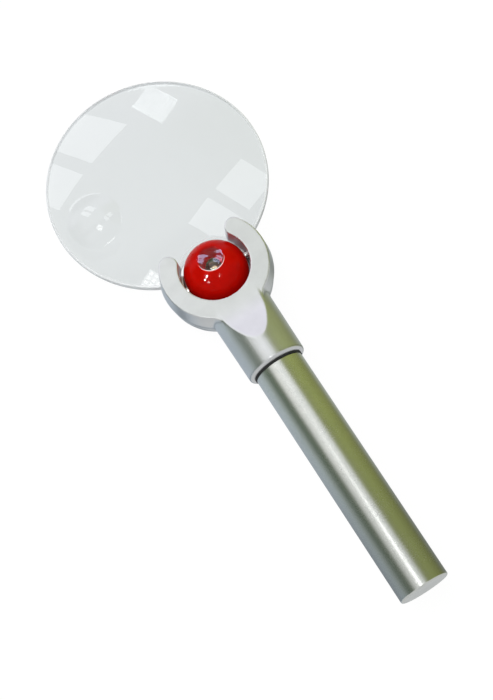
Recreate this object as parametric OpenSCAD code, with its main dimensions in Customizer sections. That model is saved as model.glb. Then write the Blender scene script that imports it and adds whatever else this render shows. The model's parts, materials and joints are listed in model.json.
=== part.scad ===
// Rimless illuminated hand magnifier: a clear lens with a moulded spot lens, a forked
// head that holds a swivelling ball lamp, and a tubular handle that holds two cells.
//
// Working frame of the modules: the ball lamp's centre is at the origin, +Y runs from
// the handle to the lens, +Z is the viewer's side, and the handle's axis is the Y axis.
// placed() then moves everything so that the part rests on z = 0, centred on x and y.

/* [Main lens] */
// Diameter of the main lens
lens_d = 88; // [80:1:96]
// Thickness of the lens at its rim
lens_rim = 3; // [2.4:0.1:3.4]
// Rise of each curved face from the rim to the centre
lens_sag = 4; // [2.5:0.1:5]
// Distance from the ball's centre to the lens centre
lens_y = 46.5; // [45:0.5:52]
// Height of the lens's middle plane from the handle's axis
lens_z = -4; // [-4.2:0.1:-3.8]
// Radius of the opening in the lens for the ball
notch_r = 14.8; // [14.2:0.1:15]
// Outer radius of the clear hub ring that the head clamps
hub_r = 20.2; // [19.8:0.1:20.3]

/* [Spot lens] */
// Diameter of the raised spot lens
spot_d = 21.6; // [16:0.2:24]
// Radius of curvature of the spot lens
spot_curve = 22; // [18:1:40]
// Distance from the main lens's centre to the spot lens
spot_offset = 28.6; // [20:0.1:29]
// Direction of the spot lens from the main lens's centre
spot_angle = 183; // [150:1:200]

/* [Head] */
// Height of the head's flat faces from the handle's axis
face_z = 8.1; // [7.8:0.1:8.6]
// Radius of the opening between the fork's arms
ring_in = 13.7; // [13.4:0.1:13.9]
// Outer radius of the fork at its face
ring_out = 21; // [20.6:0.1:21.4]
// Outer radius of the fork where its two shells meet
ring_flare = 22; // [21.8:0.1:22.4]
// Angle from the lens direction to the middle of an upper arm's round tip
arm_angle = 57; // [50:1:66]
// The same angle for the shorter lower arms
cover_arm_angle = 80; // [74:1:86]
// Slope of the tongue that runs from the face up to the collar
tongue_slope = 15; // [12:1:18]
// Radius of the bend between the face and the tongue
tongue_bend = 40; // [30:1:44]
// Radius of the concave blend between the fork and the collar
blend_r = 6; // [5.6:0.1:6.4]

/* [Collar] */
// Radius of the collar at the fork
collar_r = 12.1; // [12:0.1:12.3]
// Radius of the collar near its mouth
collar_mouth_r = 11.7; // [11.4:0.1:12]
// Distance from the ball's centre to the collar's mouth
collar_end = 44.5; // [44.5:0.5:46]
// Rounding of the collar's mouth
mouth_round = 1.3; // [0.8:0.1:1.5]

/* [Handle] */
// Outer radius of the handle tube
handle_r = 9.7; // [9.6:0.1:10.5]
// Distance from the ball's centre to the handle's flat tail
tail_end = 142; // [142:1:150]
// Radius of the handle's bore for the cells
bore_r = 7.5; // [7.3:0.05:7.6]
// Advance of the handle's thread in one turn
thread_pitch = 1.25; // [1:0.25:1.5]

/* [Ball lamp] */
// Radius of the ball
ball_r = 12.6; // [12.2:0.1:12.8]
// Wall thickness of the ball
ball_wall = 1.6; // [1.4:0.1:1.8]
// Tilt of the window towards the lens at rest
window_tilt = 8; // [0:1:20]
// Radius of the window
window_r = 5.2; // [4.8:0.1:5.4]
// Radius of the two pivot pins
pin_r = 1.2; // [1:0.05:1.25]

/* [Cells] */
// Radius of one cell
cell_r = 7.1; // [6.9:0.05:7.15]
// Length of one cell with its nub
cell_len = 50.5; // [49.5:0.1:50.5]

/* [Hidden] */
$fn = 96;

fine = 360;                 // facets of the large lens surfaces
gap = 0.15;                 // clearance between the lens and the head's shells
over = 1;                   // how far a cutter runs past the surface it cuts

// Lens surfaces
lens_r = lens_d / 2;
lens_curve = (lens_r * lens_r + lens_sag * lens_sag) / (2 * lens_sag);
spot_r = spot_d / 2;
spot_slope = asin(spot_offset / lens_curve);
spot_depth = sqrt(spot_curve * spot_curve - spot_r * spot_r);
spot_drop = lens_curve - sqrt(lens_curve * lens_curve - spot_r * spot_r);

// Head
split_z = lens_z;           // plane where the head's shell and cover meet
cover_end = 26;             // the cover reaches this far towards the handle
arm_mid = (ring_in + ring_out) / 2;
arm_half = (ring_out - ring_in) / 2;
arm_flare = ring_flare - ring_out;
tongue_start = 15.2;        // the face is flat up to here, and the tongue bends up from it
cradle_r = ball_r + 0.6;    // spherical seat round the ball in the cover
cradle_out = notch_r - 0.2;
cradle_top = -2.6;
face_half = sqrt(collar_r * collar_r - face_z * face_z);
collar_start = 14;

// Cover screws: two through the lens's hub and two in the neck
screw_r = 1;
screw_head_r = 1.9;
screw_seat = -6.7;
screw_len = 9;
screw_spots = [for (side = [-1, 1]) each [[side * 14.8, -10.4], [side * 7.5, -21.6]]];

// Sleeve, board and contacts inside the collar
sleeve_r = 9;
sleeve_bore = 7.55;
board_y = 30.2;
board_t = 1.2;
contact_len = 1.9;
thread_len = 8.5;
thread_crest = 8.38;
thread_root = 8.0;
seal_t = 0.7;
seal_r = 10;

// Handle
tube_start = collar_end + seal_t;
socket_r = 8.45;
socket_end = 56;
plug_r = 8.6;
plug_len = 4;
tail_round = 0.7;
nub_r = 2.75;
nub_len = 1.4;
cells_start = board_y + board_t + contact_len;
cells_end = cells_start + 2 * cell_len;
plug_face = tail_end - plug_len;

// Leads along the fork
lead_r = 0.5;
lead_path = 15.6;
lead_z = -1.75;
lead_x = 3;
lead_start = 9.5;

// Ball lamp
ball_in = ball_r - ball_wall;
window_seat = 10.2;
window_curve = ball_r + 0.3;
ledge_r = 4.6;
lip_t = 0.7;
lip_h = 1.2;
lamp_board_z = -3.2;
lamp_board_t = 1.2;
led_r = 2.5;
led_flange_r = 2.9;
led_lift = 1.9;
led_base = lamp_board_z + lamp_board_t + led_lift;
pin_in = 8.8;
pin_out = 17.35;
leaf_x = 17.4;

rest_z = ball_r;
centre_y = (lens_y + lens_r - tail_end) / 2;

silver = [0.80, 0.81, 0.81];
champagne = [0.72, 0.72, 0.64];
clear = [0.90, 0.94, 0.95, 0.45];
red = [0.78, 0.05, 0.03];

// Moves a piece from the working frame to the part's own frame
module placed() {
    translate([0, -centre_y, rest_z]) children();
}

// Turns a shape made along +Z so that it runs from the ball towards the tail
module along_handle(from = 0) {
    translate([0, -from, 0]) rotate([90, 0, 0]) children();
}

// Puts a piece of the lamp in place, tilted with the ball
module in_ball() {
    placed() rotate([-window_tilt, 0, 0]) children();
}

// ---------------------------------------------------------------- lens

// Biconvex lens body, grown all over by c
module lens_body(c = 0) {
    offset_z = lens_curve - lens_sag - lens_rim / 2;
    translate([0, lens_y, lens_z]) intersection() {
        translate([0, 0, -offset_z]) sphere(r = lens_curve + c, $fn = fine);
        translate([0, 0, offset_z]) sphere(r = lens_curve + c, $fn = fine);
        cylinder(r = lens_r + c, h = 4 * lens_sag, center = true, $fn = fine);
    }
}

// Flat ring around the ball, moulded with the lens, grown all over by c
module lens_hub(c = 0) {
    translate([0, 0, lens_z]) cylinder(r = hub_r + c, h = lens_rim + 2 * c, center = true);
}

// Raised cap of the spot lens, which stands square to the main lens's face
module spot_cap() {
    height = 8;
    translate([0, lens_y, lens_z + lens_rim / 2 + lens_sag - lens_curve])
        rotate([0, 0, spot_angle])
            rotate([0, spot_slope, 0])
                translate([0, 0, lens_curve - spot_drop])
                    intersection() {
                        translate([0, 0, -spot_depth]) sphere(r = spot_curve, $fn = 180);
                        translate([0, 0, -over]) cylinder(r = spot_r, h = height, $fn = 180);
                    }
}

module main_lens() {
    color(clear) placed() difference() {
        union() {
            lens_body();
            lens_hub();
            spot_cap();
        }
        cylinder(r = notch_r, h = 40, center = true);
        screw_holes(screw_r + gap, -over);
    }
}

// ---------------------------------------------------------------- head

// Solid of the two arms and the ring behind them; the tips' middles are at tip_angle
module fork(tip_angle) {
    half_height = face_z;
    difference() {
        union() {
            for (side = [0, 1]) mirror([0, 0, side])
                cylinder(r1 = ring_flare, r2 = ring_out, h = half_height);
        }
        // The mouth of the fork, between the lines to the tips' middles
        translate([0, 0, -half_height - over]) linear_extrude(2 * half_height + 2 * over)
            polygon(concat([[0, 0]], [for (a = [-tip_angle : tip_angle / 3 : tip_angle])
                2 * ring_flare * [sin(a), cos(a)]]));
    }
    for (side = [-1, 1], face = [0, 1]) mirror([0, 0, face])
        translate([side * arm_mid * sin(tip_angle), arm_mid * cos(tip_angle), 0])
            cylinder(r1 = arm_half + arm_flare / 2, r2 = arm_half, h = half_height);
}

// The collar's outer solid, a slightly tapered barrel with a rounded mouth
module collar_barrel() {
    mouth_y = collar_end - mouth_round;
    along_handle() rotate_extrude() {
        polygon([[0, collar_start], [collar_r, collar_start], [collar_mouth_r, mouth_y],
            [collar_mouth_r - mouth_round, collar_end], [0, collar_end]]);
        translate([collar_mouth_r - mouth_round, mouth_y]) circle(r = mouth_round);
    }
}

// Fills the corners between the fork and the collar, with concave sides
module neck_web() {
    low_x = collar_r + blend_r;
    low_y = sqrt(pow(ring_out + 0.5 + blend_r, 2) - low_x * low_x);
    top_x = face_half + blend_r;
    top_y = sqrt(pow(ring_out + blend_r, 2) - top_x * top_x);
    low_k = (ring_out + 0.5) / (ring_out + 0.5 + blend_r);
    top_k = ring_out / (ring_out + blend_r);
    slab = 0.02;
    lean = [top_x - low_x, low_y - top_y, face_z];
    for (face = [0, 1]) mirror([0, 0, face]) difference() {
        hull() {
            linear_extrude(slab) polygon([[-12, -12], [-low_k * low_x, -low_k * low_y],
                [-collar_r, -low_y], [collar_r, -low_y], [low_k * low_x, -low_k * low_y], [12, -12]]);
            translate([0, 0, face_z - slab]) linear_extrude(slab) polygon([[-12, -12],
                [-top_k * top_x, -top_k * top_y], [-face_half, -top_y], [face_half, -top_y],
                [top_k * top_x, -top_k * top_y], [12, -12]]);
        }
        for (side = [0, 1]) mirror([side, 0, 0]) translate([low_x, -low_y, 0])
            multmatrix([[1, 0, lean[0] / lean[2], 0], [0, 1, lean[1] / lean[2], 0], [0, 0, 1, 0]])
                translate([0, 0, -over]) cylinder(r = blend_r, h = face_z + 2 * over);
    }
}

// Everything above the flat face and the tongue that rises to the collar's crown
module above_face() {
    reach = 20;
    bend_y = tongue_start + tongue_bend * sin(tongue_slope);
    bend_z = face_z + tongue_bend * (1 - cos(tongue_slope));
    rotate([90, 0, 90]) translate([0, 0, -30]) linear_extrude(60) {
        polygon([[40, face_z], [-tongue_start, face_z], [-bend_y, bend_z],
            [-bend_y - reach, bend_z + reach * tan(tongue_slope)], [-bend_y - reach, 40], [40, 40]]);
        translate([-tongue_start, face_z + tongue_bend]) circle(r = tongue_bend, $fn = 240);
    }
}

// The head's whole outside, before it is split into shell and cover
module head_solid(tip_angle) {
    difference() {
        union() {
            fork(tip_angle);
            neck_web();
            collar_barrel();
        }
        for (face = [0, 1]) mirror([0, 0, face]) above_face();
        cylinder(r = ring_in, h = 60, center = true);
    }
}

// Space below the parting plane that the cover takes, made larger by c
module cover_zone(c = 0) {
    translate([-30, -cover_end - c, split_z - 30 + c]) cube([60, 60, 30]);
}

// Round holes on the screws' axes, from below up to the height top
module screw_holes(r, top) {
    for (p = screw_spots) translate([p[0], p[1], -20]) cylinder(r = r, h = 20 + top, $fn = 48);
}

// Room for the leads: a groove along the fork and a trough in the neck
module lead_space() {
    low = lens_z + lens_rim / 2 + gap - 0.01;
    height = 2;
    difference() {
        translate([0, 0, low]) cylinder(r = lead_path + 0.7, h = height);
        translate([0, 0, low - over]) cylinder(r = lead_path - 0.7, h = height + 2 * over);
        translate([-30, -2, -10]) cube([60, 60, 20]);
    }
    translate([-4.2, -board_y - 0.01, -2.6]) cube([8.4, board_y - 14.9, 3]);
    translate([-4.2, -cover_end + 0.4, split_z - over]) cube([8.4, cover_end - 20.8, 3]);
}

// Pocket in one arm for the pivot pin's bearing and its leaf spring
module arm_pocket(side) {
    low = lens_z + lens_rim / 2 + gap - 0.01;
    mirror([side < 0 ? 1 : 0, 0, 0]) {
        rotate([0, 90, 0]) cylinder(r = pin_r + 0.06, h = 18);
        translate([17.2, -2.6, low]) cube([2.8, 5.2, 4 - low]);
        translate([14.9, -2.8, low]) cube([2.4, 5.4, 0.6]);
    }
}

module head_shell() {
    color(silver) placed() difference() {
        head_solid(arm_angle);
        cover_zone();
        lens_body(gap);
        lens_hub(gap);
        screw_holes(screw_r, screw_seat + screw_len + 0.5);
        lead_space();
        for (side = [-1, 1]) arm_pocket(side);
        along_handle(board_y) cylinder(r = sleeve_r, h = collar_end);
    }
}

// Ring of the cover that closes the gap round the ball's lower half
module cradle() {
    turn = 360 - 2 * arm_angle;
    difference() {
        rotate([0, 0, 90 + arm_angle]) rotate_extrude(angle = turn)
            translate([8, -face_z]) square([cradle_out - 8, cradle_top + face_z]);
        sphere(r = cradle_r, $fn = 160);
    }
}

module head_cover() {
    color(silver) placed() cradle();
    color(silver) placed() difference() {
        intersection() {
            head_solid(cover_arm_angle);
            cover_zone(-0.05);
        }
        lens_body(gap);
        lens_hub(gap);
        screw_holes(screw_r + gap, 0);
        screw_holes(screw_head_r + 0.2, screw_seat);
    }
}

// Pan-head self-tapping screws with a cross slot
module cover_screws() {
    head_h = 1.2;
    color("silver") placed() for (p = screw_spots) translate([p[0], p[1], screw_seat]) {
        difference() {
            translate([0, 0, -head_h]) cylinder(r = screw_head_r, h = head_h, $fn = 48);
            for (turn = [0, 90]) rotate([0, 0, turn])
                translate([-1.1, -0.25, -head_h - over]) cube([2.2, 0.5, over + 0.7]);
        }
        cylinder(r = screw_r - 0.02, h = screw_len - 1, $fn = 48);
        translate([0, 0, screw_len - 1]) cylinder(r1 = screw_r - 0.02, r2 = 0.2, h = 1, $fn = 48);
    }
}

// ---------------------------------------------------------------- collar's inside

// Metal sleeve in the collar, with the thread that the handle turns on
module threaded_sleeve() {
    start = board_y + board_t;
    crest = thread_pitch * 0.4;
    turns = floor((thread_len - 2) / thread_pitch);
    color("gold") placed() difference() {
        union() {
            along_handle(start) cylinder(r = sleeve_r - 0.02, h = collar_end - start);
            along_handle(collar_end) cylinder(r = thread_root, h = thread_len);
            for (i = [0 : turns - 1])
                along_handle(tube_start + 0.8 + i * thread_pitch)
                    cylinder(r = thread_crest, h = crest);
        }
        along_handle(start - over) cylinder(r = sleeve_bore, h = 60);
    }
}

module sealing_ring() {
    color([0.06, 0.06, 0.06]) placed() difference() {
        along_handle(collar_end) cylinder(r = seal_r, h = seal_t);
        along_handle(collar_end - over) cylinder(r = thread_root + 0.5, h = seal_t + 2 * over);
    }
}

module contact_board() {
    color("darkgreen") placed() difference() {
        along_handle(board_y) cylinder(r = sleeve_r - 0.05, h = board_t);
        for (side = [-1, 1]) translate([side * 5.6, 0, 0])
            along_handle(board_y - over) cylinder(r = 0.6, h = 4, $fn = 32);
    }
}

// Domed button that the front cell's nub presses on
module front_contact() {
    color("gold") placed() {
        along_handle(board_y + board_t) cylinder(r = 3, h = 0.6);
        along_handle(board_y + board_t + 0.6) cylinder(r1 = 2.4, r2 = 1.6, h = contact_len - 0.6);
    }
}

// One insulated lead: an arc along the fork, then a straight run to the contact board
module lead(side) {
    joint_angle = asin(lead_x / lead_path);
    joint_y = sqrt(lead_path * lead_path - lead_x * lead_x);
    first_angle = side > 0 ? joint_angle - 90 : 180 + lead_start;
    rotate([0, 0, first_angle]) translate([0, 0, lead_z])
        rotate_extrude(angle = 90 - joint_angle - lead_start)
            translate([lead_path, 0]) circle(r = lead_r, $fn = 32);
    translate([side * lead_x, 0, lead_z]) {
        translate([0, -joint_y, 0]) sphere(r = lead_r + 0.08, $fn = 32);
        along_handle(joint_y) cylinder(r = lead_r, h = board_y - joint_y, $fn = 32);
    }
}

module lead_red() { color("red") placed() lead(1); }
module lead_black() { color([0.1, 0.1, 0.1]) placed() lead(-1); }

// Strip of spring brass that presses on a pivot pin's end and feeds the lamp
module leaf_spring(side) {
    mirror([side < 0 ? 1 : 0, 0, 0]) {
        translate([leaf_x, -2, -2.3]) cube([0.4, 4, 5.4]);
        translate([15.2, -2.5, -2.3]) cube([leaf_x - 15.2 + 0.4, 4.5, 0.35]);
    }
}

module leaf_spring_left() { color("gold") placed() leaf_spring(-1); }
module leaf_spring_right() { color("gold") placed() leaf_spring(1); }

// ---------------------------------------------------------------- ball lamp

// Hollow ball without its window
module ball_hollow() {
    difference() {
        sphere(r = ball_r, $fn = 160);
        sphere(r = ball_in, $fn = 160);
        translate([0, 0, window_seat]) cylinder(r = window_r, h = 5);
        cylinder(r = ledge_r, h = 20);
        rotate([0, 90, 0]) cylinder(r = pin_r, h = 40, center = true);
    }
}

// Ring where the rear shell's lip sits inside the front shell, made wider by c
module ball_lip(c = 0) {
    difference() {
        translate([0, 0, -over]) cylinder(r = ball_in + lip_t + c, h = over + lip_h + c);
        translate([0, 0, -2 * over]) cylinder(r = ball_in - over, h = 20);
    }
}

module lamp_shell_front() {
    color(red) in_ball() difference() {
        ball_hollow();
        translate([0, 0, -30]) cube([60, 60, 60], center = true);
        ball_lip(0.05);
    }
}

module lamp_shell_rear() {
    color(red) in_ball() {
        difference() {
            union() {
                difference() {
                    ball_hollow();
                    translate([0, 0, 30]) cube([60, 60, 60], center = true);
                }
                intersection() {
                    ball_hollow();
                    translate([0, 0, 0.01]) ball_lip();
                }
                // Ledge that carries the lamp board
                intersection() {
                    sphere(r = ball_in + 0.2, $fn = 160);
                    translate([0, 0, lamp_board_z - 1.2]) difference() {
                        cylinder(r = ball_in, h = 1.2);
                        translate([0, 0, -over]) cylinder(r = 8.6, h = 4);
                    }
                }
            }
            rotate([0, 90, 0]) cylinder(r = pin_r, h = 40, center = true);
        }
    }
}

// Clear window, flat inside and slightly proud of the ball outside
module lamp_window() {
    color(clear) in_ball() intersection() {
        sphere(r = window_curve, $fn = 160);
        translate([0, 0, window_seat]) cylinder(r = window_r - 0.03, h = 5);
    }
}

// Cone around the lamp, standing on the board
module lamp_cup() {
    top = 9.3;
    waist = led_base + 2.1;
    wall = 0.7;
    foot_r = 3.9;
    color(red) in_ball() difference() {
        union() {
            translate([0, 0, waist]) cylinder(r1 = foot_r, r2 = ledge_r + wall, h = top - waist);
            translate([0, 0, lamp_board_z + lamp_board_t])
                cylinder(r = foot_r, h = waist - lamp_board_z - lamp_board_t);
        }
        translate([0, 0, waist]) cylinder(r1 = led_r + 0.1, r2 = ledge_r, h = top - waist);
        translate([0, 0, top - 0.01]) cylinder(r = ledge_r, h = over);
        translate([0, 0, waist - over]) cylinder(r = led_r + 0.1, h = over + 0.01);
        translate([0, 0, -10]) cylinder(r = led_flange_r + 0.1, h = led_base + 11.3);
    }
}

// Five-millimetre light-emitting diode with its two legs
module led() {
    dome = led_base + 6.2;
    leg_len = led_lift + 2.3;
    leg_x = 1.27;
    color([0.95, 0.95, 0.9]) in_ball() {
        translate([0, 0, led_base]) cylinder(r = led_flange_r, h = 1);
        translate([0, 0, led_base]) cylinder(r = led_r, h = dome - led_base);
        translate([0, 0, dome]) sphere(r = led_r);
        for (side = [-1, 1]) translate([side * leg_x, 0, led_base + 0.1 - leg_len])
            cylinder(r = 0.25, h = leg_len, $fn = 24);
    }
}

module lamp_board() {
    color("darkgreen") in_ball() difference() {
        translate([0, 0, lamp_board_z]) cylinder(r = 9.4, h = lamp_board_t);
        for (side = [-1, 1]) translate([side * 1.27, 0, lamp_board_z - over])
            cylinder(r = 0.4, h = 4, $fn = 24);
    }
}

// Axial resistor under the lamp board
module resistor() {
    body_r = 1.15;
    body_len = 6.3;
    leg_x = 5;
    leg_r = 0.28;
    axis_z = lamp_board_z - 1.7;
    color("tan") in_ball() translate([0, 3, 0]) {
        translate([0, 0, axis_z]) rotate([0, 90, 0]) cylinder(r = body_r, h = body_len, center = true);
        for (side = [-1, 1]) {
            translate([side * (body_len / 2 + leg_x) / 2, 0, axis_z]) rotate([0, 90, 0])
                cylinder(r = leg_r, h = leg_x - body_len / 2 + 0.02, center = true, $fn = 24);
            translate([side * leg_x, 0, axis_z]) sphere(r = leg_r + 0.06, $fn = 24);
            translate([side * leg_x, 0, axis_z]) cylinder(r = leg_r, h = lamp_board_z - axis_z, $fn = 24);
        }
    }
}

// Brass pin that the ball turns on, which also brings the current in
module pivot_pin(side) {
    translate([side > 0 ? pin_in : -pin_out, 0, 0]) rotate([0, 90, 0])
        cylinder(r = pin_r - 0.01, h = pin_out - pin_in);
}

module pivot_pin_left() { color("gold") in_ball() pivot_pin(-1); }
module pivot_pin_right() { color("gold") in_ball() pivot_pin(1); }

// Strip from the lamp board up to a pivot pin's inner end
module feed_strip(side) {
    thick = 0.3;
    top_z = lamp_board_z + lamp_board_t;
    mirror([side < 0 ? 1 : 0, 0, 0]) {
        translate([6.4, -1.5, top_z]) cube([pin_in - 6.4, 3, thick]);
        translate([pin_in - thick, -1.5, top_z]) cube([thick, 3, 3.3]);
    }
}

module feed_strip_left() { color("gold") in_ball() feed_strip(-1); }
module feed_strip_right() { color("gold") in_ball() feed_strip(1); }

// ---------------------------------------------------------------- handle

// One cell, its nub towards the ball
module cell(start) {
    along_handle(start) cylinder(r = nub_r, h = nub_len + 0.1);
    along_handle(start + nub_len) cylinder(r = cell_r, h = cell_len - nub_len);
}

module cell_front() { color("dimgray") placed() cell(cells_start); }
module cell_rear() { color("dimgray") placed() cell(cells_start + cell_len); }

module handle_tube() {
    color(champagne) placed() difference() {
        along_handle() rotate_extrude() {
            polygon([[0, tube_start], [handle_r - 0.2, tube_start], [handle_r, tube_start + 0.2],
                [handle_r, tail_end - tail_round], [handle_r - tail_round, tail_end], [0, tail_end]]);
            translate([handle_r - tail_round, tail_end - tail_round]) circle(r = tail_round, $fn = 48);
        }
        along_handle(tube_start - over) cylinder(r = socket_r, h = socket_end - tube_start + over);
        along_handle(tube_start) cylinder(r = bore_r, h = tail_end);
        along_handle(plug_face) cylinder(r = plug_r, h = tail_end);
    }
}

// Disc pressed into the tail, with a seat for the spring
module tail_plug() {
    color(champagne) placed() difference() {
        along_handle(plug_face) cylinder(r = plug_r - 0.02, h = plug_len);
        along_handle(plug_face - over) cylinder(r = 5.2, h = over + 0.8);
    }
}

// Closed outline of a round wire swept along a tapering helix
module coil(r_low, r_top, height, turns, wire_r) {
    steps = 16;
    sides = 8;
    rings = turns * steps;
    function spine(i) = let (t = i / rings, r = r_low + (r_top - r_low) * t, a = 360 * turns * t)
        [r * cos(a), r * sin(a), wire_r + (height - 2 * wire_r) * t];
    function rim(i) = let (a = 360 * turns * i / rings, c = spine(i))
        [for (k = [0 : sides - 1]) let (b = 360 * k / sides)
            c + wire_r * [cos(b) * cos(a), cos(b) * sin(a), sin(b)]];
    points = [for (i = [0 : rings]) each rim(i)];
    walls = [for (i = [0 : rings - 1], k = [0 : sides - 1]) let (n = (k + 1) % sides)
        [i * sides + k, (i + 1) * sides + k, (i + 1) * sides + n, i * sides + n]];
    first = [for (k = [0 : sides - 1]) k];
    last = [for (k = [sides - 1 : -1 : 0]) rings * sides + k];
    polyhedron(points, concat(walls, [first, last]), convexity = 10);
}

module tail_spring() {
    color("silver") placed()
        along_handle(cells_end) coil(2.2, 4.8, plug_face + 0.8 - cells_end, 3, 0.45);
}

main_lens();
head_shell();
head_cover();
cover_screws();
threaded_sleeve();
sealing_ring();
contact_board();
front_contact();
lead_red();
lead_black();
leaf_spring_left();
leaf_spring_right();
lamp_shell_front();
lamp_shell_rear();
lamp_window();
lamp_cup();
led();
lamp_board();
resistor();
pivot_pin_left();
pivot_pin_right();
feed_strip_left();
feed_strip_right();
cell_front();
cell_rear();
handle_tube();
tail_plug();
tail_spring();
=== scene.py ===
"""Illuminated hand magnifier: finishes, detailed pieces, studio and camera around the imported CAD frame."""
import json
import math

import bpy
import numpy as np
from mathutils import Matrix, Vector


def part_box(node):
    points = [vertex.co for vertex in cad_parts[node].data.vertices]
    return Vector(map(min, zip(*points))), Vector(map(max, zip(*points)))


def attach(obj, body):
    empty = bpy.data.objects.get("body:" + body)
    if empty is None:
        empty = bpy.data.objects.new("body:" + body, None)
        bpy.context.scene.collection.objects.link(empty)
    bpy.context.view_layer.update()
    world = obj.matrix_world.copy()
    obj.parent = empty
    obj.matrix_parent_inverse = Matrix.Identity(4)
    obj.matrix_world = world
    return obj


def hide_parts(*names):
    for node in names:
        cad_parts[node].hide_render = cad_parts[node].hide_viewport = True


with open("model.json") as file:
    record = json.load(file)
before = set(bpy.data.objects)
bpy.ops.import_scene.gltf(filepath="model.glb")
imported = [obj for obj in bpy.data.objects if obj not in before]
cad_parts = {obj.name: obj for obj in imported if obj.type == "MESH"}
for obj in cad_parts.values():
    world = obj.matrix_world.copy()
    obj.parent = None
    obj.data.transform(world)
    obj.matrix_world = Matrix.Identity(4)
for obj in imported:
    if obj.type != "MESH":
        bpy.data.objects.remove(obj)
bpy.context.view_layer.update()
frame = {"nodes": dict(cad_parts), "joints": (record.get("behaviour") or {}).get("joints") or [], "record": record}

MM = 0.001
NODES = frame["nodes"]
JOINTS = {j["name"]: j for j in frame["joints"]}
BALL = Vector(JOINTS["lamp_swivel"]["pos_m"])  # the ball lamp's centre
LAMP_LEAN = math.radians(8)  # the lamp's axis leans this far from overhead towards the lens


# ------------------------------------------------------------------ node helpers

class Nodes:
    """Short calls for building one node tree."""

    def __init__(self, tree):
        self.tree = tree
        tree.nodes.clear()

    def add(self, kind, **settings):
        node = self.tree.nodes.new(kind)
        for key, value in settings.items():
            setattr(node, key, value)
        return node

    def link(self, source, target):
        self.tree.links.new(source, target)

    def feed(self, socket, value):
        if isinstance(value, bpy.types.NodeSocket):
            self.link(value, socket)
        else:
            socket.default_value = value

    def math(self, operation, a, b=0.0, c=0.0, clamp=False):
        node = self.add("ShaderNodeMath", operation=operation, use_clamp=clamp)
        for socket, value in zip(node.inputs, (a, b, c)):
            self.feed(socket, value)
        return node.outputs[0]

    def vector(self, operation, a, b=(0, 0, 0)):
        node = self.add("ShaderNodeVectorMath", operation=operation)
        self.feed(node.inputs[0], a)
        self.feed(node.inputs[1], b)
        return node

    def mix(self, factor, a, b, blend="MIX"):
        node = self.add("ShaderNodeMix", data_type="RGBA", blend_type=blend)
        self.feed(node.inputs["Factor"], factor)
        self.feed(node.inputs[6], rgba(a))
        self.feed(node.inputs[7], rgba(b))
        return node.outputs[2]

    def span(self, value, low, high, to_low=0.0, to_high=1.0, smooth=False):
        node = self.add("ShaderNodeMapRange", interpolation_type="SMOOTHSTEP" if smooth else "LINEAR")
        for socket, v in zip(node.inputs, (value, low, high, to_low, to_high)):
            self.feed(socket, v)
        return node.outputs[0]

    def place(self, scale=(1, 1, 1), rotation=(0, 0, 0)):
        """Object coordinates in metres, stretched by scale."""
        coord = self.add("ShaderNodeTexCoord").outputs["Object"]
        mapping = self.add("ShaderNodeMapping")
        self.link(coord, mapping.inputs["Vector"])
        mapping.inputs["Rotation"].default_value = rotation
        mapping.inputs["Scale"].default_value = scale
        return mapping.outputs[0]

    def noise(self, size, detail=3.0, rough=0.5, vector=None):
        """Noise with features of about this size in metres, from 0 to 1."""
        node = self.add("ShaderNodeTexNoise")
        self.link(vector or self.place(), node.inputs["Vector"])
        node.inputs["Scale"].default_value = 1 / size
        node.inputs["Detail"].default_value = detail
        node.inputs["Roughness"].default_value = rough
        return node.outputs["Fac"]

    def relief(self, height, depth, shader):
        """A bump of this depth in metres, where height is 1."""
        node = self.add("ShaderNodeBump")
        node.inputs["Strength"].default_value = 1.0
        node.inputs["Distance"].default_value = depth
        self.link(height, node.inputs["Height"])
        self.link(node.outputs[0], shader.inputs["Normal"])

    def axis(self, index):
        """One object coordinate, in metres."""
        split = self.add("ShaderNodeSeparateXYZ")
        self.link(self.add("ShaderNodeTexCoord").outputs["Object"], split.inputs[0])
        return split.outputs[index]


def rgba(value):
    if isinstance(value, bpy.types.NodeSocket) or len(value) == 4:
        return value
    return (*value, 1.0)


def start(name):
    """A new material's nodes, its Principled shader and its output."""
    made = bpy.data.materials.new(name)
    made.use_nodes = True
    n = Nodes(made.node_tree)
    out = n.add("ShaderNodeOutputMaterial")
    shader = n.add("ShaderNodeBsdfPrincipled")
    n.link(shader.outputs[0], out.inputs["Surface"])
    return made, n, shader, out


def settings(shader, **values):
    for key, value in values.items():
        shader.inputs[key.replace("_", " ")].default_value = value


def worn_edges(n, colour, wear):
    """The colour, with its sharp edges rubbed to the colour wear."""
    starts, full = 0.515, 0.56  # pointiness
    edge = n.span(n.add("ShaderNodeNewGeometry").outputs["Pointiness"], starts, full, smooth=True)
    patches = n.span(n.noise(1.5 * MM), 0.35, 0.65)
    rubbed = n.math("MULTIPLY", edge, patches, clamp=True)
    return n.mix(n.math("MULTIPLY", rubbed, 0.6), colour, wear)


def scratch_mask(n):
    """Fine lines in patches, from 0 to 1."""
    lines = n.noise(0.25 * MM, detail=1.0, vector=n.place((0.04, 1.0, 1.0), (0.3, 0.5, 0.9)))
    fine_lines = n.span(lines, 0.66, 0.70, smooth=True)
    patches = n.span(n.noise(9 * MM), 0.45, 0.6)
    return n.math("MULTIPLY", fine_lines, patches)


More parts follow.
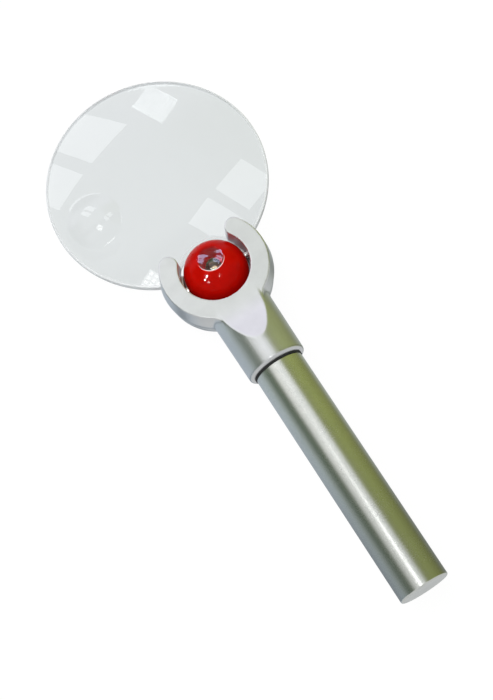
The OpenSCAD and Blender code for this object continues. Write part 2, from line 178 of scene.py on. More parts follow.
def finish(name, light, dark, rough, grain, bump, metal=0.0, mottle=4 * MM, wear=None, scratches=0.0,
           stretch=(1, 1, 1), **sockets):
    """A finish whose colour drifts from light to dark, with a roughness range, a fine grain and worn edges.

    rough is the lowest and highest roughness, grain the grain's size and bump its height in metres.
    """
    speck_share, speck_shade, scratch_rough = 0.10, 0.55, 0.12
    made, n, shader, _ = start(name)
    drift = n.noise(mottle, detail=4.0)
    fine = n.noise(grain, detail=2.0, vector=n.place(stretch))
    colour = n.mix(n.span(drift, 0.32, 0.68, smooth=True), light, dark)
    speck = n.math("ABSOLUTE", n.span(fine, 0.25, 0.75, -1.0, 1.0))
    colour = n.mix(n.math("MULTIPLY", speck, speck_share), colour, [speck_shade * c for c in dark])
    uneven = n.math("ADD", n.math("MULTIPLY", drift, 0.6), n.math("MULTIPLY", fine, 0.4))
    roughness = n.span(uneven, 0.3, 0.7, rough[0], rough[1])
    if wear:
        colour = worn_edges(n, colour, wear)
    height = fine
    if scratches:
        scored = scratch_mask(n)
        roughness = n.math("ADD", roughness, n.math("MULTIPLY", scored, scratch_rough))
        height = n.math("SUBTRACT", height, n.math("MULTIPLY", scored, scratches))
    n.feed(shader.inputs["Base Color"], colour)
    n.feed(shader.inputs["Roughness"], roughness)
    n.relief(height, bump, shader)
    settings(shader, Metallic=metal, **sockets)
    return made, n, shader, colour


def matt_rim(n, surface, centre, radius):
    """The surface, running into a matt white at the edge of a round piece."""
    starts, full, share = 1.3 * MM, 0.5 * MM, 0.6  # distances in from the edge, and how matt it gets
    coord = n.add("ShaderNodeTexCoord").outputs["Object"]
    flat = n.vector("MULTIPLY", n.vector("SUBTRACT", coord, centre).outputs[0], (1, 1, 0)).outputs[0]
    away = n.vector("LENGTH", flat).outputs["Value"]
    matt = n.add("ShaderNodeBsdfDiffuse")
    matt.inputs["Color"].default_value = (0.97, 0.98, 1.0, 1)
    edge = n.add("ShaderNodeMixShader")
    n.link(n.span(away, radius - starts, radius - full, 0.0, share, smooth=True), edge.inputs[0])
    n.link(surface, edge.inputs[1])
    n.link(matt.outputs[0], edge.inputs[2])
    return edge.outputs[0]


def clear(name, tint, rough, ior, veil, streak=22 * MM, gloss=1.0, rim=None):
    """A clear moulding: glass that lets the lamps' rays through, with faint flow lines and handling haze.

    veil is the height of the flow lines in metres and streak their size. gloss scales the mirror image,
    and rim is the centre and radius of a round piece whose edge is matt.
    """
    flow_shade, dust_share, ray_share = 0.985, 0.25, 0.97
    made, n, shader, out = start(name)
    flow = n.noise(streak, detail=2.0, vector=n.place((1.0, 0.35, 1.0)))
    haze = n.noise(6 * MM, detail=6.0, rough=0.6)
    dust = n.span(n.noise(0.5 * MM, detail=1.0), 0.74, 0.78, smooth=True)
    colour = n.mix(n.span(flow, 0.3, 0.7), tint, [c * flow_shade for c in tint])
    colour = n.mix(n.math("MULTIPLY", dust, dust_share), colour, (0.62, 0.64, 0.63))
    n.feed(shader.inputs["Base Color"], colour)
    n.feed(shader.inputs["Roughness"], n.span(haze, 0.4, 0.75, rough[0], rough[1]))
    n.relief(flow, veil, shader)
    settings(shader, Transmission_Weight=1.0, IOR=ior, Specular_IOR_Level=0.5,
             Specular_Tint=(gloss, gloss, gloss, 1.0))
    lamp_ray = n.add("ShaderNodeLightPath").outputs["Is Shadow Ray"]
    through = n.add("ShaderNodeBsdfTransparent")
    through.inputs[0].default_value = (*[c * ray_share for c in tint], 1.0)
    choose = n.add("ShaderNodeMixShader")
    n.link(lamp_ray, choose.inputs[0])
    n.link(shader.outputs[0], choose.inputs[1])
    n.link(through.outputs[0], choose.inputs[2])
    surface = matt_rim(n, choose.outputs[0], *rim) if rim else choose.outputs[0]
    n.link(surface, out.inputs["Surface"])
    return made


# ------------------------------------------------------------------ finishes

LENS_SAG = 4 * MM  # how far each face of the lens bulges beyond its rim
LENS_RIM = 3 * MM  # the rim's thickness
lens_lo, lens_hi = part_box("main_lens")
LENS_R = (lens_hi.x - lens_lo.x) / 2
LENS_MID = Vector((0, lens_hi.y - LENS_R, lens_lo.z + LENS_SAG + LENS_RIM / 2))

LENS_CLEAR = clear("lens_acrylic", (0.745, 0.775, 0.78), (0.0, 0.012), 1.49, 0.010 * MM,
                   rim=(LENS_MID, LENS_R))
WINDOW_CLEAR = clear("window_acrylic", (0.97, 0.95, 0.95), (0.0, 0.01), 1.46, 0.002 * MM, streak=6 * MM,
                     gloss=0.3)
EPOXY = clear("led_epoxy", (0.93, 0.94, 0.90), (0.01, 0.05), 1.52, 0.004 * MM, streak=3 * MM)

SILVER = finish("silver_paint", (0.86, 0.87, 0.88), (0.82, 0.83, 0.84), (0.27, 0.31), 0.16 * MM,
                0.0016 * MM, metal=0.93, mottle=7 * MM, wear=(0.93, 0.93, 0.92), scratches=0.15)[0]
CHAMPAGNE = finish("champagne_metal", (0.86, 0.87, 0.84), (0.81, 0.82, 0.79), (0.24, 0.28), 0.13 * MM,
                   0.0018 * MM, metal=1.0, mottle=11 * MM, wear=(0.92, 0.91, 0.88), scratches=0.25,
                   stretch=(1, 0.5, 1))[0]
RED = finish("red_plastic", (0.70, 0.005, 0.0016), (0.61, 0.004, 0.0012), (0.06, 0.08), 0.4 * MM,
             0.0004 * MM, mottle=5 * MM, scratches=0.1, Subsurface_Weight=0.05, Subsurface_Scale=0.0008,
             Subsurface_Radius=(1.0, 0.12, 0.06), Specular_IOR_Level=0.05)[0]
# A darker copy of the red plastic for the lamp's cup: its lower red is painted shade for the inside of the lamp
RED_PAINTED_SHADE = finish("red_plastic_painted_shade", (0.46, 0.003, 0.001), (0.38, 0.002, 0.001), (0.20, 0.30),
                    0.3 * MM, 0.002 * MM, mottle=3 * MM, Specular_IOR_Level=0.2)[0]
PHOSPHOR = finish("led_phosphor", (0.70, 0.62, 0.36), (0.60, 0.50, 0.26), (0.35, 0.50), 0.08 * MM,
                  0.004 * MM, mottle=0.5 * MM, Subsurface_Weight=0.3, Subsurface_Scale=0.0003)[0]
RUBBER = finish("black_rubber", (0.028, 0.028, 0.028), (0.016, 0.016, 0.017), (0.55, 0.75), 0.12 * MM,
                0.006 * MM, mottle=2 * MM)[0]
# The lead frame's dull brown is painted shade and a painted reflection of the red cup round it
LEAD_FRAME_PAINTED_SHADE = finish("led_lead_frame", (0.30, 0.23, 0.18), (0.20, 0.15, 0.12), (0.15, 0.28), 0.06 * MM,
                    0.001 * MM, metal=1.0)[0]
NICKEL = finish("nickel_plate", (0.80, 0.78, 0.76), (0.70, 0.68, 0.66), (0.10, 0.20), 0.10 * MM, 0.001 * MM,
                metal=1.0, wear=(0.93, 0.91, 0.88), scratches=0.3)[0]
PLATED = finish("plated_brass", (0.83, 0.66, 0.36), (0.74, 0.55, 0.28), (0.16, 0.30), 0.10 * MM,
                0.0012 * MM, metal=1.0, wear=(0.93, 0.80, 0.52), scratches=0.3)[0]
SPRING_BRASS = finish("spring_brass", (0.80, 0.60, 0.30), (0.66, 0.47, 0.24), (0.22, 0.38), 0.08 * MM,
                      0.0015 * MM, metal=1.0, stretch=(1, 0.08, 0.08))[0]
SCREW = finish("screw_steel", (0.62, 0.63, 0.65), (0.50, 0.51, 0.53), (0.22, 0.40), 0.09 * MM, 0.0015 * MM,
               metal=1.0, wear=(0.80, 0.80, 0.80), scratches=0.3)[0]
SPRING = finish("spring_steel", (0.60, 0.60, 0.61), (0.46, 0.46, 0.48), (0.20, 0.34), 0.07 * MM, 0.001 * MM,
                metal=1.0, stretch=(0.2, 1, 0.2))[0]
PVC_RED = finish("lead_red_pvc", (0.62, 0.02, 0.015), (0.50, 0.015, 0.012), (0.38, 0.52), 0.15 * MM,
                 0.003 * MM, mottle=2 * MM)[0]
PVC_BLACK = finish("lead_black_pvc", (0.03, 0.03, 0.032), (0.018, 0.018, 0.02), (0.38, 0.52), 0.15 * MM,
                   0.003 * MM, mottle=2 * MM)[0]


def board_finish():
    """Green solder mask over a pattern of copper tracks."""
    per_metre, gap, share = 700, 0.11, 0.35
    made, n, shader, green = finish("circuit_board", (0.012, 0.16, 0.06), (0.008, 0.12, 0.045),
                                    (0.25, 0.38), 0.12 * MM, 0.002 * MM, mottle=1.5 * MM)
    cells = n.add("ShaderNodeTexBrick", offset=0.5)
    n.link(n.place((per_metre, per_metre, per_metre)), cells.inputs["Vector"])
    cells.inputs["Scale"].default_value = 1.0
    cells.inputs["Mortar Size"].default_value = gap
    track = n.math("SUBTRACT", 1.0, cells.outputs["Fac"])
    n.feed(shader.inputs["Base Color"], n.mix(n.math("MULTIPLY", track, share), (0.05, 0.24, 0.10), green))
    return made


def resistor_finish():
    """Tan coat with four colour bands, and tinned ends."""
    made, n, shader, coat = finish("resistor_coat", (0.62, 0.47, 0.28), (0.54, 0.40, 0.24), (0.30, 0.42),
                                   0.15 * MM, 0.003 * MM, mottle=1 * MM)
    bands = (  # each band's middle along the resistor in mm, and its colour
        (-2.1, (0.35, 0.05, 0.03)),
        (-1.1, (0.02, 0.02, 0.02)),
        (-0.1, (0.30, 0.12, 0.03)),
        (1.9, (0.55, 0.38, 0.10)),
    )
    half_band, body_end = 0.28 * MM, 3.16 * MM
    x = n.axis(0)
    colour = coat
    for middle, band in bands:
        colour = n.mix(n.math("COMPARE", x, middle * MM, half_band), colour, band)
    tinned = n.math("GREATER_THAN", n.math("ABSOLUTE", x), body_end)
    n.feed(shader.inputs["Base Color"], n.mix(tinned, colour, (0.62, 0.62, 0.62)))
    n.feed(shader.inputs["Metallic"], n.math("MULTIPLY", tinned, 0.9))
    return made


def cell_finish(node):
    """A plain jacket in two colours with bare steel ends, banded along the cell."""
    gold_length, stripe_away, half_stripe = 15 * MM, 15.6 * MM, 0.5 * MM  # from the button's end
    button, base = 1.6 * MM, 0.5 * MM  # the bare lengths at the two ends
    lo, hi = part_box(node)
    made, n, shader, dark = finish(f"cell_jacket_{node}", (0.035, 0.036, 0.04), (0.022, 0.022, 0.026),
                                   (0.22, 0.32), 0.3 * MM, 0.001 * MM, mottle=6 * MM, Coat_Weight=0.3)
    y = n.axis(1)
    gold = n.math("GREATER_THAN", y, hi.y - gold_length)
    colour = n.mix(gold, dark, (0.62, 0.32, 0.12))
    stripe = n.math("COMPARE", y, hi.y - stripe_away, half_stripe)
    colour = n.mix(stripe, colour, (0.75, 0.75, 0.72))
    front = n.math("GREATER_THAN", y, hi.y - button)
    back = n.math("LESS_THAN", y, lo.y + base)
    ends = n.math("ADD", front, back, clamp=True)
    n.feed(shader.inputs["Base Color"], n.mix(ends, colour, (0.66, 0.66, 0.67)))
    n.feed(shader.inputs["Metallic"], n.math("MAXIMUM", ends, n.math("MULTIPLY", gold, 0.5)))
    return made


BOARD = board_finish()

FINISHES = {
    "main_lens": LENS_CLEAR, "head_shell": SILVER, "head_cover": SILVER, "cover_screws": SCREW,
    "threaded_sleeve": PLATED, "sealing_ring": RUBBER, "contact_board": BOARD, "front_contact": PLATED,
    "lead_red": PVC_RED, "lead_black": PVC_BLACK, "leaf_spring_left": SPRING_BRASS,
    "leaf_spring_right": SPRING_BRASS, "lamp_shell_front": RED, "lamp_shell_rear": RED,
    "lamp_window": WINDOW_CLEAR, "lamp_cup": RED_PAINTED_SHADE, "led": EPOXY, "lamp_board": BOARD,
    "resistor": resistor_finish(), "pivot_pin_left": NICKEL, "pivot_pin_right": NICKEL,
    "feed_strip_left": SPRING_BRASS, "feed_strip_right": SPRING_BRASS,
    "cell_front": cell_finish("cell_front"), "cell_rear": cell_finish("cell_rear"),
    "handle_tube": CHAMPAGNE, "tail_plug": CHAMPAGNE, "tail_spring": SPRING,
}
for node_name, node_object in NODES.items():
    for slot in node_object.material_slots:
        slot.material = FINISHES[node_name]


# ------------------------------------------------------------------ detailed pieces

SHARP = math.radians(40)  # a made piece is shaded smooth where its faces meet flatter than this


def new_piece(name, verts, faces, body, stands_for=None, material=None):
    """A mesh piece that rides on body and may stand for a CAD node."""
    mesh = bpy.data.meshes.new(name)
    mesh.from_pydata([tuple(v) for v in verts], [], faces)
    mesh.validate()
    mesh.polygons.foreach_set("use_smooth", [True] * len(mesh.polygons))
    mesh.set_sharp_from_angle(angle=SHARP)
    made = bpy.data.objects.new(name, mesh)
    bpy.context.scene.collection.objects.link(made)
    mesh.materials.append(material)
    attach(made, body)
    if stands_for:
        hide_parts(stands_for)
    return made


def lens_faces():
    """The lens's top and underside, as functions from points in the plane to heights above LENS_MID.

    The top carries the spot lens, whose foot blends softly into the main lens.
    """
    spot_r, spot_curve = 10.8 * MM, 22 * MM
    spot_away, spot_turn = 28.6 * MM, math.radians(183)  # the spot lens's place, seen from the lens's middle
    blend = 0.35 * MM  # the height over which the two curves run into each other
    margin = 3 * MM
    curve = (LENS_R ** 2 + LENS_SAG ** 2) / (2 * LENS_SAG)
    spot = np.array([LENS_MID.x + spot_away * math.cos(spot_turn),
                     LENS_MID.y + spot_away * math.sin(spot_turn)])
    lean = spot_away / curve
    outward = np.array([math.cos(spot_turn) * math.sin(lean), math.sin(spot_turn) * math.sin(lean),
                        math.cos(lean)])
    curve_mid = np.array([LENS_MID.x, LENS_MID.y, LENS_RIM / 2 + LENS_SAG - curve])
    sunk = math.sqrt(curve ** 2 - spot_r ** 2) - math.sqrt(spot_curve ** 2 - spot_r ** 2)
    spot_mid = curve_mid + outward * sunk

    def dome(x, y, mid, r):
        inside = r ** 2 - (x - mid[0]) ** 2 - (y - mid[1]) ** 2
        return mid[2] + np.sqrt(np.maximum(inside, 0.0))

    def main(x, y):
        away = np.hypot(x - LENS_MID.x, y - LENS_MID.y)
        return np.where(away < LENS_R, dome(x, y, curve_mid, curve), LENS_RIM / 2)

    def top(x, y):
        base = main(x, y)
        near = np.hypot(x - spot[0], y - spot[1]) < spot_r + margin
        cap = np.where(near, dome(x, y, spot_mid, spot_curve), -1.0)
        share = np.clip(0.5 + 0.5 * (cap - base) / blend, 0, 1)
        return base * (1 - share) + cap * share + blend * share * (1 - share)

    def under(x, y):
        return -main(x, y)

    return top, under


def lens_outline(hub):
    """Points round the lens's far edge, and back round a hub of this radius about the ball."""
    back = LENS_MID.y - BALL.y
    meet_y = (hub ** 2 + back ** 2 - LENS_R ** 2) / (2 * back)
    meet = math.atan2(meet_y - back, math.sqrt(hub ** 2 - meet_y ** 2))
    lens_turns = np.linspace(meet, math.pi - meet, 300)
    points = [(LENS_MID.x + LENS_R * math.cos(a), LENS_MID.y + LENS_R * math.sin(a)) for a in lens_turns]
    hub_from = math.atan2(meet_y, -math.sqrt(hub ** 2 - meet_y ** 2))
    hub_turns = np.linspace(hub_from, 2 * math.pi + math.pi - hub_from, 90)[1:-1]
    points += [(hub * math.cos(a), BALL.y + hub * math.sin(a)) for a in hub_turns]
    return np.array(points)


def make_lens():
    """The lens as one closed net of quads round the ball's opening, with rounded edges.

    Each column starts at the opening, runs out over the top to the rim and comes back underneath.
    """
    hole, hub = 14.8 * MM, 20.2 * MM
    wall_edge, rim_edge = 0.4 * MM, 1.25 * MM  # the radii of the rounded edges
    top, under = lens_faces()
    middle = np.array([BALL.x, BALL.y])
    away = lens_outline(hub) - middle
    reach = np.hypot(away[:, 0], away[:, 1])
    heading = away / reach[:, None]
    wall = np.full(len(away), hole)

    def spread(r):
        return middle + heading * r[:, None]

    def ring(r, z):
        return np.column_stack([spread(r), z])

    def at(r, face):
        p = spread(r)
        return face(p[:, 0], p[:, 1])

    def between(a, b, share):
        return a + (b - a) * share

    wall_turns = [math.radians(a) for a in (22.5, 45, 67.5)]
    rim_turns = [math.radians(a) for a in range(9, 90, 9)]
    first, last = wall + wall_edge, reach - rim_edge
    loops = []
    for share in np.linspace(0, 1, 150):
        r = between(first, last, share)
        loops.append(ring(r, at(r, top)))
    for a in rim_turns:
        loops.append(ring(last + rim_edge * math.sin(a), at(last, top) - rim_edge * (1 - math.cos(a))))
    for share in (0.0, 0.5, 1.0):
        loops.append(ring(reach, between(at(last, top) - rim_edge, at(last, under) + rim_edge, share)))
    for a in reversed(rim_turns):
        loops.append(ring(last + rim_edge * math.sin(a), at(last, under) + rim_edge * (1 - math.cos(a))))
    for share in np.linspace(1, 0, 60):
        r = between(first, last, share)
        loops.append(ring(r, at(r, under)))
    for a in wall_turns:
        loops.append(ring(first - wall_edge * math.sin(a), at(first, under) + wall_edge * (1 - math.cos(a))))
    for share in (0.0, 0.33, 0.67, 1.0):
        loops.append(ring(wall, between(at(first, under) + wall_edge, at(first, top) - wall_edge, share)))
    for a in reversed(wall_turns):
        loops.append(ring(first - wall_edge * math.sin(a), at(first, top) - wall_edge * (1 - math.cos(a))))

    points = np.array(loops)
    points[:, :, 2] += LENS_MID.z
    n_loops, n_cols = points.shape[:2]
    faces = []
    for i in range(n_loops):
        j = (i + 1) % n_loops
        for k in range(n_cols):
            m = (k + 1) % n_cols
            faces.append((i * n_cols + k, j * n_cols + k, j * n_cols + m, i * n_cols + m))
    return new_piece("lens_moulding", points.reshape(-1, 3), faces, "head", "main_lens",
                     LENS_CLEAR)


lens = make_lens()


def turned(profile, steps, place):
    """The points and faces of (radius, height) points turned about the lamp's axis.

    The first and the last point lie on the axis.
    """
    first, *rings, last = profile
    verts = [place(r * math.cos(2 * math.pi * k / steps), r * math.sin(2 * math.pi * k / steps), z)
             for r, z in rings for k in range(steps)]
    start, end = len(verts), len(verts) + 1
    verts += [place(0, 0, first[1]), place(0, 0, last[1])]
    faces = []
    for k in range(steps):
        m = (k + 1) % steps
        faces.append((start, m, k))
        for i in range(len(rings) - 1):
            faces.append((i * steps + k, i * steps + m, (i + 1) * steps + m, (i + 1) * steps + k))
        top = (len(rings) - 1) * steps
        faces.append((end, top + k, top + m))
    return verts, faces


def post(sections, place):
    """A bar through (x, half width, half depth, height) sections, with closed ends, as points and faces."""
    verts, faces = [], []
    for x, half_w, half_d, z in sections:
        verts += [place(x + i * half_w, j * half_d, z) for i, j in ((-1, -1), (1, -1), (1, 1), (-1, 1))]
    for level in range(len(sections) - 1):
        for i in range(4):
            a, b = 4 * level + i, 4 * level + (i + 1) % 4
            faces.append((a, b, b + 4, a + 4))
    last = 4 * (len(sections) - 1)
    return verts, faces + [(3, 2, 1, 0), (last, last + 1, last + 2, last + 3)]


LEAN = Matrix.Rotation(-LAMP_LEAN, 3, "X")


def lamp_heights(node):
    """A lamp node's points, as distances from the lamp's axis and heights above the ball's centre."""
    local = [LEAN.transposed() @ (v.co - BALL) for v in NODES[node].data.vertices]
    return [math.hypot(p.x, p.y) for p in local], [p.z for p in local]


def make_window():
    """The clear dome, turned finely so that it reflects the room without ripples."""
    away, height = lamp_heights("lamp_window")
    radius, seat, curve = max(away), min(height), max(height)
    edge_turn = math.asin(radius / curve)
    rings, steps = 48, 144
    turns = [edge_turn * k / rings for k in range(rings - 1, 0, -1)]
    profile = [(0, seat), (radius, seat)]
    profile += [(curve * math.sin(turn), curve * math.cos(turn)) for turn in turns]
    profile += [(0, curve)]
    verts, faces = turned(profile, steps, lambda x, y, z: BALL + LEAN @ Vector((x, y, z)))
    return new_piece("lamp_dome", verts, faces, "lamp", "lamp_window", WINDOW_CLEAR)


window = make_window()


# The diode's insides in mm, with heights below its top: (radius, height) for the turned parts,
# and (x, half width, half depth, height) for the posts
LED_CUP = (0, -3.6), (0.55, -3.6), (1.0, -3.1), (1.22, -2.45), (1.12, -2.42), (0.8, -2.95), (0, -3.0)
LED_CHIP = (0, -2.99), (0.42, -2.99), (0.52, -2.8), (0.45, -2.62), (0.26, -2.5), (0, -2.46)
LED_ANVIL = ((-1.2, 0.24, 0.24, -8.3), (-1.2, 0.24, 0.24, -7.4), (-0.62, 0.75, 0.26, -6.2),
             (-0.45, 0.85, 0.26, -4.3), (-0.1, 0.5, 0.24, -3.45))
LED_POST = ((1.2, 0.24, 0.24, -8.3), (1.2, 0.24, 0.24, -7.4), (1.0, 0.5, 0.26, -6.4),
            (1.55, 0.3, 0.24, -4.0), (1.62, 0.22, 0.2, -2.9))


def make_led_works():
    """The lead frame and the phosphor-covered chip that show inside the clear diode."""
    cup_steps, chip_steps = 40, 32
    top = max(lamp_heights("led")[1])

    def place(x, y, z):
        return BALL + LEAN @ Vector((x * MM, y * MM, z * MM + top))

    verts, faces = [], []
    for part_verts, part_faces in (turned(LED_CUP, cup_steps, place), post(LED_ANVIL, place),
                                   post(LED_POST, place)):
        faces += [tuple(i + len(verts) for i in face) for face in part_faces]
        verts += part_verts
    new_piece("led_lead_frame", verts, faces, "lamp", material=LEAD_FRAME_PAINTED_SHADE)
    verts, faces = turned(LED_CHIP, chip_steps, place)
    new_piece("led_chip", verts, faces, "lamp", material=PHOSPHOR)


make_led_works()


def soften(node, voxel, rounds):
    """Rounds a CAD node's sharp edges a little, as its mould and paint do."""
    o = NODES[node]
    remesh = o.modifiers.new("even", "REMESH")
    remesh.mode = "VOXEL"
    remesh.voxel_size = voxel
    remesh.use_smooth_shade = True
    smooth = o.modifiers.new("round", "SMOOTH")
    smooth.factor = 0.5
    smooth.iterations = rounds


for head_node in ("head_shell", "head_cover"):
    soften(head_node, voxel=0.30 * MM, rounds=7)


# ------------------------------------------------------------------ studio

def plane(name, centre, across, up):
    """A rectangle with these half sides as vectors."""
    c, a, u = Vector(centre), Vector(across), Vector(up)
    mesh = bpy.data.meshes.new(name)
    mesh.from_pydata([c - a - u, c + a - u, c + a + u, c - a + u], [], [(0, 1, 2, 3)])
    mesh.uv_layers.new(name="card").data.foreach_set("uv", (0, 0, 1, 0, 1, 1, 0, 1))
    made = bpy.data.objects.new(name, mesh)
    bpy.context.scene.collection.objects.link(made)
    return made


def make_floor():
    """A pale floor that glows, so that it looks the same everywhere and takes only soft shadows."""
    half, glow_strength, matte_shade = 3, 0.94, 0.10
    floor = plane("floor", (0, 0, 0), (half, 0, 0), (0, half, 0))
    made = bpy.data.materials.new("floor_white")
    made.use_nodes = True
    n = Nodes(made.node_tree)
    out = n.add("ShaderNodeOutputMaterial")
    glow = n.add("ShaderNodeEmission")
    glow.inputs["Strength"].default_value = glow_strength
    matte = n.add("ShaderNodeBsdfDiffuse")
    matte.inputs["Color"].default_value = (matte_shade, matte_shade, matte_shade, 1)
    both = n.add("ShaderNodeAddShader")
    n.link(glow.outputs[0], both.inputs[0])
    n.link(matte.outputs[0], both.inputs[1])
    n.link(both.outputs[0], out.inputs["Surface"])
    floor.data.materials.append(made)
    floor.visible_glossy = False
    floor.visible_diffuse = False
    return floor


ROOM_TURN = math.radians(25)  # the room's lights and windows stand at this angle to the object
ROOM_HEIGHT = 1.6


def grid_strength(n, strength, grid):
    """A panel's strength, darker along the bars of a grid with this many cells each way."""
    bar_from, bar_share = 0.72, 0.45
    split = n.add("ShaderNodeSeparateXYZ")
    n.link(n.add("ShaderNodeTexCoord").outputs["UV"], split.inputs[0])
    bars = [n.math("GREATER_THAN", n.math("FRACT", n.math("MULTIPLY", split.outputs[axis], grid)), bar_from)
            for axis in (0, 1)]
    return n.span(n.math("MAXIMUM", *bars), 0, 1, strength, strength * bar_share)


def panel(name, across, along, strength, colour, only, level, grid=None, inside=False):
    """A light panel on the ceiling, which only some pieces see.

    across and along are (low, high) spans, as tangents of the angle from overhead. level stacks panels that
    lie in one place, and inside lets one show after a ray has been inside a clear piece.
    """
    height = ROOM_HEIGHT + 10 * MM * level
    c, s = math.cos(ROOM_TURN), math.sin(ROOM_TURN)
    a_dir, b_dir = Vector((c, s, 0)), Vector((-s, c, 0))
    mid = BALL + Vector((0, 0, height)) + height * (
        a_dir * (across[0] + across[1]) / 2 + b_dir * (along[0] + along[1]) / 2)
    made = plane(name, mid, a_dir * height * (across[1] - across[0]) / 2,
                 b_dir * height * (along[1] - along[0]) / 2)
    surface = bpy.data.materials.new(name)
    surface.use_nodes = True
    n = Nodes(surface.node_tree)
    out = n.add("ShaderNodeOutputMaterial")
    glow = n.add("ShaderNodeEmission")
    glow.inputs["Color"].default_value = rgba(colour)
    n.feed(glow.inputs["Strength"], grid_strength(n, strength, grid) if grid else strength)
    both = n.add("ShaderNodeAddShader")  # a piece that this panel isn't meant for sees the room through it
    n.link(glow.outputs[0], both.inputs[0])
    n.link(n.add("ShaderNodeBsdfTransparent").outputs[0], both.inputs[1])
    n.link(both.outputs[0], out.inputs["Surface"])
    made.data.materials.append(surface)
    made.visible_camera = False
    made.visible_transmission = inside
    made.visible_shadow = False
    made.light_linking.receiver_collection = only
    return made


def lamp(name, direction, distance, radius, power, glossy=True):
    """A round soft lamp aimed at the ball."""
    data = bpy.data.lights.new(name, "AREA")
    data.shape = "DISK"
    data.size = 2 * radius
    data.energy = power
    made = bpy.data.objects.new(name, data)
    bpy.context.scene.collection.objects.link(made)
    d = Vector(direction).normalized()
    made.location = BALL + d * distance
    made.rotation_mode = "QUATERNION"
    made.rotation_quaternion = d.to_track_quat("Z", "Y")
    made.visible_camera = False
    made.visible_transmission = False
    made.visible_glossy = glossy
    return made


def group(name, members):
    """A collection of the objects that a light is meant for."""
    made = bpy.data.collections.new(name)
    for member in members:
        made.objects.link(member)
    return made


make_floor()
ball_nodes = [NODES[name] for name in frame["record"]["behaviour"]["bodies"]["lamp"]]
BALL_ONLY = group("ball_only", ball_nodes)
LENS_ONLY = group("clear_only", [lens])
DOME_ONLY = group("dome_only", [window])
REST_ONLY = group("satin", [node for node in NODES.values() if node not in ball_nodes])

# The lens, the dome and the other pieces each get their own ceiling light, and the windows show in the lens
# and the dome alone
WHITE, DAY, FAR_DAY, SKY = (1, 1, 1), (0.96, 0.98, 1.0), (0.96, 0.97, 1.0), (0.70, 0.82, 1.25)
CEILING = (-0.26, -0.07), (-0.06, 0.155)
panel("ceiling_light", *CEILING, 3.2, WHITE, REST_ONLY, 0, grid=12)
panel("ceiling_light_lens", (-0.235, -0.05), (-0.02, 0.195), 6.5, WHITE, LENS_ONLY, 1, grid=9, inside=True)
panel("ceiling_light_dome", *CEILING, 60, WHITE, DOME_ONLY, 2, grid=12)
for window_pane in (
        ("window_near_1", (0.19, 0.33), (0.0, 0.17), 2.3, DAY, LENS_ONLY, 3),
        ("window_near_2", (0.38, 0.58), (0.0, 0.17), 2.3, DAY, LENS_ONLY, 3),
        ("window_far_1", (-0.02, 0.176), (0.75, 1.5), 2.3, FAR_DAY, LENS_ONLY, 3),
        ("window_far_2", (0.244, 0.50), (0.75, 1.5), 2.3, FAR_DAY, LENS_ONLY, 3),
        ("dome_far_1", (-0.27, 0.115), (0.88, 2.8), 20, SKY, DOME_ONLY, 4),
        ("dome_far_2", (0.19, 0.55), (0.86, 6.0), 20, SKY, DOME_ONLY, 4),
        ("dome_near_1", (0.27, 0.95), (-0.11, 0.35), 20, SKY, DOME_ONLY, 4),
        ("dome_near_2", (1.15, 2.5), (0.03, 0.9), 20, SKY, DOME_ONLY, 4)):
    panel(*window_pane)

SPOTS = (  # small lamps that show as bright dots on the ball: direction, radius and power
    ((-0.64, -0.16, 0.76), 0.085, 45),
    ((-0.78, -0.21, 0.59), 0.055, 18),
    ((-0.71, -0.44, 0.54), 0.055, 14),
    ((0.01, -0.56, 0.83), 0.055, 14),
)
SPOT_AWAY = 1.2
for index, (direction, radius, power) in enumerate(SPOTS):
    spot = lamp(f"spot_{index}", direction, SPOT_AWAY, radius, power)
    spot.visible_diffuse = False
    spot.light_linking.receiver_collection = BALL_ONLY
lamp("key", (-0.25, 0.25, 1.0), distance=1.8, radius=0.9, power=10, glossy=False)


def room_ramp(n, x, z):
    """The room's colour by the angle from overhead towards +X."""
    stops = (  # degrees, and the colour there
        (-180, (0.50, 0.54, 0.58)), (-150, (0.44, 0.50, 0.56)), (-105, (0.45, 0.52, 0.55)),
        (-88, (0.34, 0.39, 0.37)), (-70, (0.11, 0.15, 0.11)), (-49, (0.10, 0.13, 0.08)),
        (-34, (0.88, 0.90, 0.87)), (-8, (0.96, 0.98, 0.98)), (9, (0.90, 0.93, 0.92)),
        (23, (0.25, 0.28, 0.09)), (55, (0.32, 0.37, 0.11)), (95, (0.26, 0.29, 0.09)),
        (112, (0.22, 0.24, 0.11)), (135, (0.36, 0.39, 0.32)), (180, (0.50, 0.54, 0.58)),
    )
    turn = n.math("DIVIDE", n.math("ARCTAN2", x, z), 2 * math.pi)
    ramp = n.add("ShaderNodeValToRGB")
    n.link(n.math("ADD", turn, 0.5), ramp.inputs["Fac"])
    elements = ramp.color_ramp.elements
    while len(elements) < len(stops):
        elements.new(0.5)
    for element, (angle, colour) in zip(elements, stops):
        element.position = angle / 360 + 0.5
        element.color = (*colour, 1)
    return ramp.outputs["Color"]


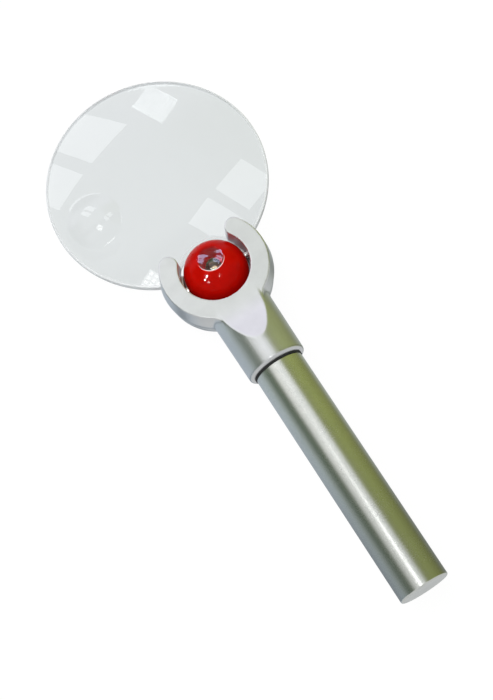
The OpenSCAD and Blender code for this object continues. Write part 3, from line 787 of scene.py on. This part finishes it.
def make_world():
    """A room round the object, which the metal and the clear pieces reflect.

    A bright band passes overhead, between an olive wall on +X and a wall on -X that is dark green above and
    blue-grey below. The camera, and rays that come straight through a clear piece, see plain white.
    """
    world = bpy.data.worlds.new("room")
    bpy.context.scene.world = world
    world.use_nodes = True
    n = Nodes(world.node_tree)
    out = n.add("ShaderNodeOutputWorld")
    back = n.add("ShaderNodeBackground")
    split = n.add("ShaderNodeSeparateXYZ")
    n.link(n.add("ShaderNodeTexCoord").outputs["Generated"], split.inputs[0])
    x, y, z = split.outputs
    colour = room_ramp(n, x, z)
    beam_y, beam_dim = 0.11, 0.46  # a dimmer strip crosses the room overhead
    from_beam = n.math("ABSOLUTE", n.math("SUBTRACT", y, beam_y))
    dim = n.span(from_beam, 0.03, 0.15, beam_dim, 1.0, smooth=True)
    colour = n.mix(1.0, colour, dim, "MULTIPLY")
    for starts, full, band in (  # how far along +Y each band starts and is full, and its colour
            (0.50, 0.70, (0.98, 0.96, 1.06)),
            (0.80, 0.92, (0.30, 0.30, 0.32)),
            (0.0, -0.25, (0.56, 0.57, 0.57))):
        colour = n.mix(n.span(y, starts, full, smooth=True), colour, band)
    ray = n.add("ShaderNodeLightPath").outputs
    mirrored = n.math("LESS_THAN", ray["Diffuse Depth"], 0.5)
    through = n.math("MULTIPLY", ray["Is Transmission Ray"], mirrored)
    direct = n.math("MAXIMUM", ray["Is Camera Ray"], through)
    colour = n.mix(direct, colour, WHITE)
    n.link(colour, back.inputs["Color"])
    n.link(back.outputs[0], out.inputs["Surface"])


make_world()
bpy.context.scene.view_settings.view_transform = "Standard"
bpy.context.scene.cycles.glossy_bounces = 12  # light that runs along inside the lens still gets out


# ------------------------------------------------------------------ camera

def make_camera():
    """The photograph's view: from above the handle, and turned so that the lens points up left."""
    target = BALL + Vector((-6.55, -32.51, 0)) * MM
    distance = 558.45 * MM
    tilt, azimuth, roll = math.radians(18.5), math.radians(-103.53), math.radians(-33.16)
    data = bpy.data.cameras.new("camera")
    data.sensor_width = 36
    data.lens = 77.14
    data.clip_start = 0.01
    data.clip_end = 20
    made = bpy.data.objects.new("camera", data)
    bpy.context.scene.collection.objects.link(made)
    z = Vector((math.sin(tilt) * math.cos(azimuth), math.sin(tilt) * math.sin(azimuth), math.cos(tilt)))
    level_x = Vector((0, 1, 0)).cross(z).normalized()
    level_y = z.cross(level_x)
    x = math.cos(roll) * level_x + math.sin(roll) * level_y
    y = -math.sin(roll) * level_x + math.cos(roll) * level_y
    turn = Matrix((x, y, z)).transposed().to_4x4()
    made.matrix_world = Matrix.Translation(target + z * distance) @ turn
    bpy.context.scene.camera = made


make_camera()
